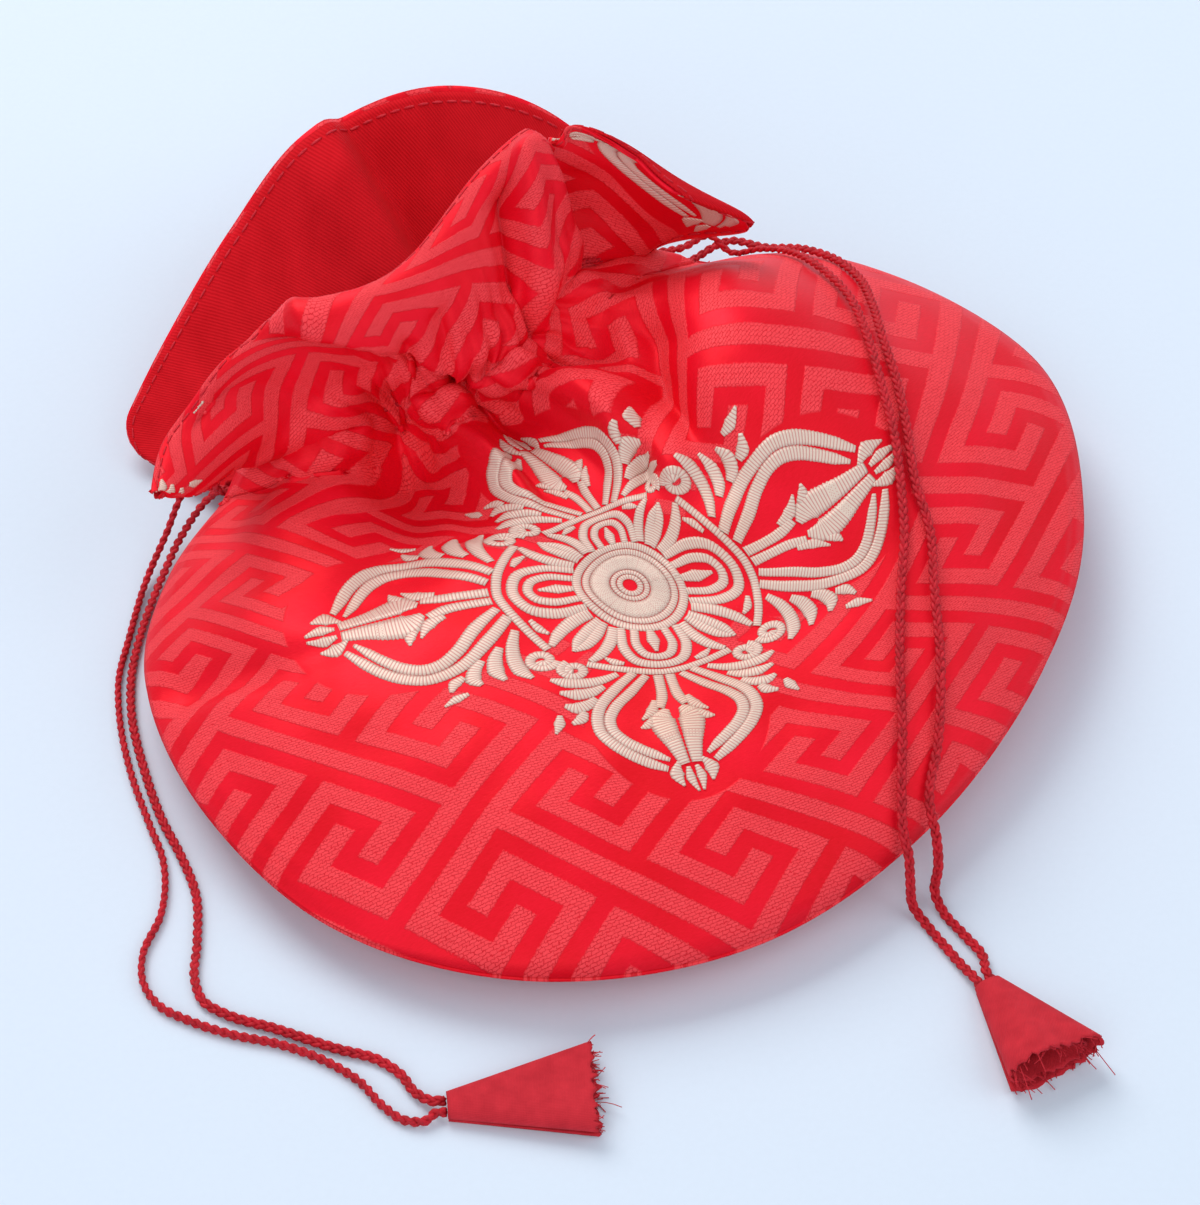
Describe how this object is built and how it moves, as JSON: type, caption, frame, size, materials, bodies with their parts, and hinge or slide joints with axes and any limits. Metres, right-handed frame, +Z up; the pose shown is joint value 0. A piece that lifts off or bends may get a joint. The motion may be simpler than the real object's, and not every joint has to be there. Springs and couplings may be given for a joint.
{
  "type": "mala bag",
  "caption": "Small round-bottomed brocade pouch for prayer beads, with a lined mouth, open flaps above a gathered casing and drawstrings that end in folded cloth cones.",
  "frame": {"origin": "the middle of the flat round body, on the flat of the back panel that the pouch lies on", "axes": "+Z up, out through the front panel; +X to the right across the body; +Y away from the bottom seam, towards the mouth's side"},
  "size_m": [0.1598, 0.1961, 0.0655],
  "materials": {
    "brocade": "satin",
    "lining": "matte",
    "cord": "matte",
    "cone_cloth": "matte"
  },
  "bodies": {
    "root": {"front_panel": "brocade", "front_lining": "lining", "back_panel": "brocade", "back_lining": "lining", "left_strand_front": "cord", "left_strand_back": "cord", "right_strand_front": "cord", "right_strand_back": "cord", "left_drawstring_in_casing": "cord", "right_drawstring_in_casing": "cord", "left_cone": "cone_cloth", "right_cone": "cone_cloth"}
  },
  "joints": []
}
